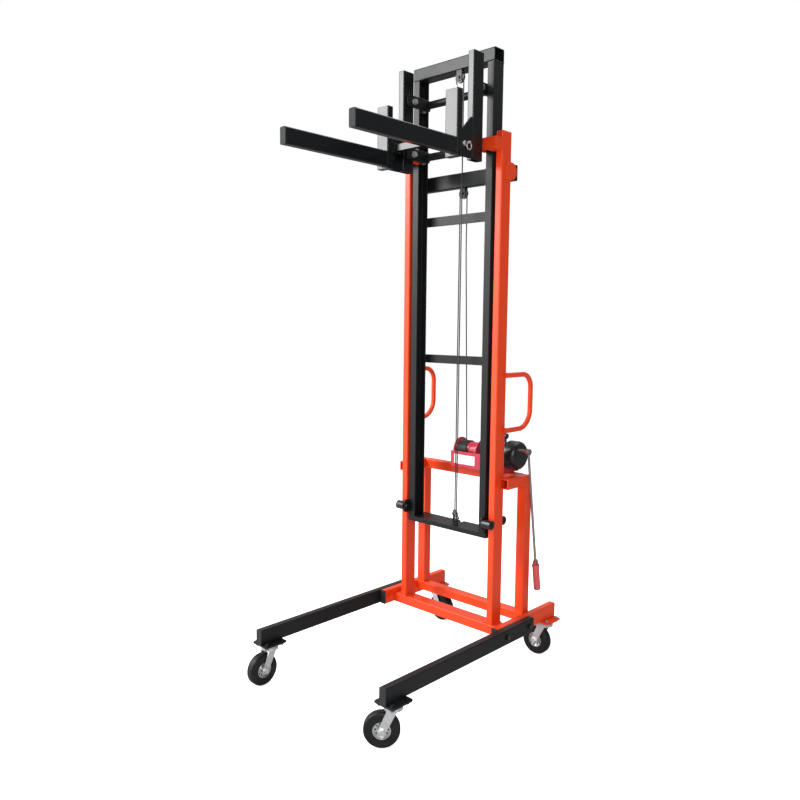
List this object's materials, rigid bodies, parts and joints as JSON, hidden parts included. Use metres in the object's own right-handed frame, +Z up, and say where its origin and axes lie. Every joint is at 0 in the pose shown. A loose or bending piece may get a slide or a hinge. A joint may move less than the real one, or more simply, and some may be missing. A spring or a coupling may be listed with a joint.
{
  "type": "pipe installation lift",
  "caption": "Hand-winch pipe lift: wheeled base with long legs, fixed posts, a telescoping mast and a fork carriage raised by wire rope.",
  "frame": {"origin": "on the floor, at the middle of the footprint", "axes": "+X towards the crank's side, +Y towards the rear where the winch is, forks point to -Y, +Z up"},
  "size_m": [0.76, 1.1104, 2.44],
  "materials": {
    "orange_paint": "satin orange-red paint",
    "black_paint": "satin black paint",
    "winch_paint": "magenta-red paint",
    "zinc": "zinc-plated steel",
    "steel": "machined steel",
    "rope": "galvanised wire rope",
    "black_plastic": "black moulded plastic",
    "red_grip": "pinkish-red moulded grip",
    "tyre": "black rubber tyre on a zinc hub"
  },
  "bodies": {
    "frame": {"side_rails": "orange_paint", "cross_beams": "orange_paint", "left_leg": "black_paint", "right_leg": "black_paint", "frame_bolts": "zinc", "tube_caps": "black_plastic", "left_post": "orange_paint", "right_post": "orange_paint", "winch_uprights": "orange_paint", "winch_crossbar": "orange_paint", "head_bar": "black_paint", "post_brackets": "orange_paint", "push_handles": "orange_paint", "caster_plates": "zinc", "head_block": "black_paint", "winch_frame": "winch_paint", "gear_cover": "black_plastic", "rope_lead": "rope", "rope_fall": "rope"},
    "mast": {"mast_left_rail": "black_paint", "mast_right_rail": "black_paint", "mast_top_bar": "black_paint", "mast_cross_bars": "black_paint", "mast_foot_bar": "black_paint", "mast_roller_brackets": "black_paint", "mast_blocks": "black_paint", "rope_rise": "rope", "rope_drop": "rope"},
    "carriage": {"carriage_uprights": "black_paint", "carriage_axles": "black_paint", "fork_beam": "black_paint"},
    "drum": {"winch_drum": "zinc", "drum_rope": "rope"},
    "left_fork": {"left_fork": "black_paint"},
    "right_fork": {"right_fork": "black_paint"},
    "left_fork_pin": {"left_fork_pin": "zinc"},
    "right_fork_pin": {"right_fork_pin": "zinc"},
    "crank": {"crank": "steel"},
    "crank_grip": {"crank_grip": "red_grip"},
    "ratchet_lever": {"ratchet_lever": "black_plastic"},
    "head_sheave": {"head_sheave": "steel"},
    "top_sheave": {"top_sheave": "steel"},
    "rear_foot_sheave": {"rear_foot_sheave": "steel"},
    "front_foot_sheave": {"front_foot_sheave": "steel"},
    "post_rollers": {"post_rollers": "steel"},
    "mast_front_rollers": {"mast_front_rollers": "steel"},
    "mast_rear_rollers": {"mast_rear_rollers": "steel"},
    "carriage_upper_rollers": {"carriage_upper_rollers": "steel"},
    "carriage_lower_rollers": {"carriage_lower_rollers": "steel"},
    "front_left_caster": {"front_left_yoke": "zinc"},
    "front_left_wheel": {"front_left_wheel": "tyre"},
    "front_right_caster": {"front_right_yoke": "zinc"},
    "front_right_wheel": {"front_right_wheel": "tyre"},
    "rear_left_caster": {"rear_left_yoke": "zinc"},
    "rear_left_wheel": {"rear_left_wheel": "tyre"},
    "rear_left_brake": {"rear_left_brake_pedal": "black_plastic"},
    "rear_right_caster": {"rear_right_yoke": "zinc"},
    "rear_right_wheel": {"rear_right_wheel": "tyre"},
    "rear_right_brake": {"rear_right_brake_pedal": "black_plastic"}
  },
  "joints": [
    {"name": "mast_lift", "type": "slide", "parent": "frame", "child": "mast", "axis": [0, 0, 1], "range_m": [-0.33, 1.25], "deforming": ["rope_fall"]},
    {"name": "carriage_slide", "type": "slide", "parent": "mast", "child": "carriage", "axis": [0, 0, 1], "range_m": [-1.43, 0], "deforming": ["rope_drop"]},
    {"name": "left_fork_slide", "type": "slide", "parent": "carriage", "child": "left_fork", "axis": [1, 0, 0], "range_m": [0, 0.09]},
    {"name": "right_fork_slide", "type": "slide", "parent": "carriage", "child": "right_fork", "axis": [-1, 0, 0], "range_m": [0, 0.09]},
    {"name": "left_pin_pull", "type": "slide", "parent": "carriage", "child": "left_fork_pin", "axis": [-1, 0, 0], "range_m": [0, 0.06]},
    {"name": "right_pin_pull", "type": "slide", "parent": "carriage", "child": "right_fork_pin", "axis": [1, 0, 0], "range_m": [0, 0.06]},
    {"name": "drum_spin", "type": "hinge", "parent": "frame", "child": "drum", "pos_m": [0, 0.37225, 0.862], "axis": [1, 0, 0], "continuous": true},
    {"name": "crank_spin", "type": "hinge", "parent": "frame", "child": "crank", "pos_m": [0.31, 0.33825, 0.89609], "axis": [1, 0, 0], "continuous": true},
    {"name": "grip_fold", "type": "hinge", "parent": "crank", "child": "crank_grip", "pos_m": [0.31, 0.41025, 0.43009], "axis": [0, -0.9883, -0.1527], "range_deg": [0, 90]},
    {"name": "ratchet_tip", "type": "hinge", "parent": "frame", "child": "ratchet_lever", "pos_m": [0.188, 0.35225, 0.912], "axis": [1, 0, 0], "range_deg": [-20, 20]},
    {"name": "head_sheave_spin", "type": "hinge", "parent": "frame", "child": "head_sheave", "pos_m": [0, 0.28425, 1.93], "axis": [0, 1, 0], "continuous": true},
    {"name": "top_sheave_spin", "type": "hinge", "parent": "mast", "child": "top_sheave", "pos_m": [0.034, 0.20825, 2.362], "axis": [0, 1, 0], "continuous": true},
    {"name": "rear_foot_sheave_spin", "type": "hinge", "parent": "mast", "child": "rear_foot_sheave", "pos_m": [-0.00784, 0.27322, 0.6], "axis": [0.7355, 0.6775, 0], "continuous": true},
    {"name": "front_foot_sheave_spin", "type": "hinge", "parent": "mast", "child": "front_foot_sheave", "pos_m": [0.04184, 0.21928, 0.6], "axis": [0.7355, 0.6775, 0], "continuous": true},
    {"name": "post_rollers_spin", "type": "hinge", "parent": "frame", "child": "post_rollers", "pos_m": [0, 0.18195, 2.077], "axis": [1, 0, 0], "continuous": true},
    {"name": "mast_front_rollers_spin", "type": "hinge", "parent": "mast", "child": "mast_front_rollers", "pos_m": [0, 0.18195, 0.615], "axis": [1, 0, 0], "continuous": true},
    {"name": "mast_rear_rollers_spin", "type": "hinge", "parent": "mast", "child": "mast_rear_rollers", "pos_m": [0, 0.27855, 0.615], "axis": [1, 0, 0], "continuous": true},
    {"name": "carriage_upper_rollers_spin", "type": "hinge", "parent": "carriage", "child": "carriage_upper_rollers", "pos_m": [0, 0.23025, 2.293], "axis": [1, 0, 0], "continuous": true},
    {"name": "carriage_lower_rollers_spin", "type": "hinge", "parent": "carriage", "child": "carriage_lower_rollers", "pos_m": [0, 0.23025, 2.085], "axis": [1, 0, 0], "continuous": true},
    {"name": "front_left_swivel", "type": "hinge", "parent": "frame", "child": "front_left_caster", "pos_m": [-0.335, -0.45475, 0.14], "axis": [0, 0, 1], "continuous": true},
    {"name": "front_left_wheel_spin", "type": "hinge", "parent": "front_left_caster", "child": "front_left_wheel", "pos_m": [-0.335, -0.49275, 0.0625], "axis": [1, 0, 0], "continuous": true},
    {"name": "front_right_swivel", "type": "hinge", "parent": "frame", "child": "front_right_caster", "pos_m": [0.335, -0.45475, 0.14], "axis": [0, 0, 1], "continuous": true},
    {"name": "front_right_wheel_spin", "type": "hinge", "parent": "front_right_caster", "child": "front_right_wheel", "pos_m": [0.30734, -0.48081, 0.0625], "axis": [0.6858, -0.7278, 0], "continuous": true},
    {"name": "rear_left_swivel", "type": "hinge", "parent": "frame", "child": "rear_left_caster", "pos_m": [-0.305, 0.50525, 0.14], "axis": [0, 0, 1], "continuous": true},
    {"name": "rear_left_wheel_spin", "type": "hinge", "parent": "rear_left_caster", "child": "rear_left_wheel", "pos_m": [-0.267, 0.50525, 0.0625], "axis": [0, 1, 0], "continuous": true},
    {"name": "rear_left_brake_press", "type": "hinge", "parent": "rear_left_caster", "child": "rear_left_brake", "pos_m": [-0.259, 0.50525, 0.1387], "axis": [0, 1, 0], "range_deg": [0, 12]},
    {"name": "rear_right_swivel", "type": "hinge", "parent": "frame", "child": "rear_right_caster", "pos_m": [0.305, 0.50525, 0.14], "axis": [0, 0, 1], "continuous": true},
    {"name": "rear_right_wheel_spin", "type": "hinge", "parent": "rear_right_caster", "child": "rear_right_wheel", "pos_m": [0.267, 0.50525, 0.0625], "axis": [0, -1, 0], "continuous": true},
    {"name": "rear_right_brake_press", "type": "hinge", "parent": "rear_right_caster", "child": "rear_right_brake", "pos_m": [0.259, 0.50525, 0.1387], "axis": [0, -1, 0], "range_deg": [0, 12]}
  ],
  "couplings": [
    {"joint": "drum_spin", "follows": "mast_lift", "rad_per_m": 25},
    {"joint": "crank_spin", "follows": "mast_lift", "rad_per_m": -75},
    {"joint": "head_sheave_spin", "follows": "mast_lift", "rad_per_m": 55.556},
    {"joint": "post_rollers_spin", "follows": "mast_lift", "rad_per_m": 55.556},
    {"joint": "mast_front_rollers_spin", "follows": "mast_lift", "rad_per_m": -55.556},
    {"joint": "mast_rear_rollers_spin", "follows": "mast_lift", "rad_per_m": 55.556},
    {"joint": "top_sheave_spin", "follows": "carriage_slide", "rad_per_m": 55.556},
    {"joint": "rear_foot_sheave_spin", "follows": "carriage_slide", "rad_per_m": 66.667},
    {"joint": "front_foot_sheave_spin", "follows": "carriage_slide", "rad_per_m": 66.667},
    {"joint": "carriage_upper_rollers_spin", "follows": "carriage_slide", "rad_per_m": 38.911},
    {"joint": "carriage_lower_rollers_spin", "follows": "carriage_slide", "rad_per_m": -38.911}
  ]
}
